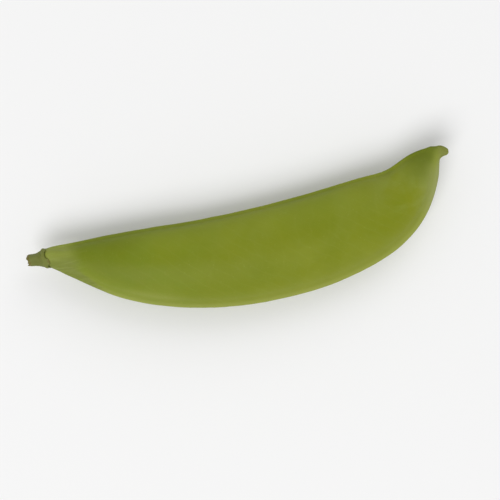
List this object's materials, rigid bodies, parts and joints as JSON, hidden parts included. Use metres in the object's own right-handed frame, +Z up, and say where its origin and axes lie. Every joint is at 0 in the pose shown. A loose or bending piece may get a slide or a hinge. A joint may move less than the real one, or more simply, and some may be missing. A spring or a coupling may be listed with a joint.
{
  "type": "sugar snap pea",
  "caption": "A whole picked sugar snap pea: a plump curved green pod with a pale neck, a hooked beak and a short stem stub, lying on its side.",
  "frame": {"origin": "under the middle of the pea's box, on the surface that it lies on", "axes": "+X from the stem end to the beak; +Y towards the ventral seam, the nearly straight one; +Z up through the pod's thickness"},
  "size_m": [0.08, 0.0206, 0.0113],
  "materials": {
    "pod_skin": "waxy satin plant skin",
    "stem": "dull, fibrous plant stalk"
  },
  "bodies": {
    "root": {"pod": "pod_skin", "stem_stub": "stem"}
  },
  "joints": []
}
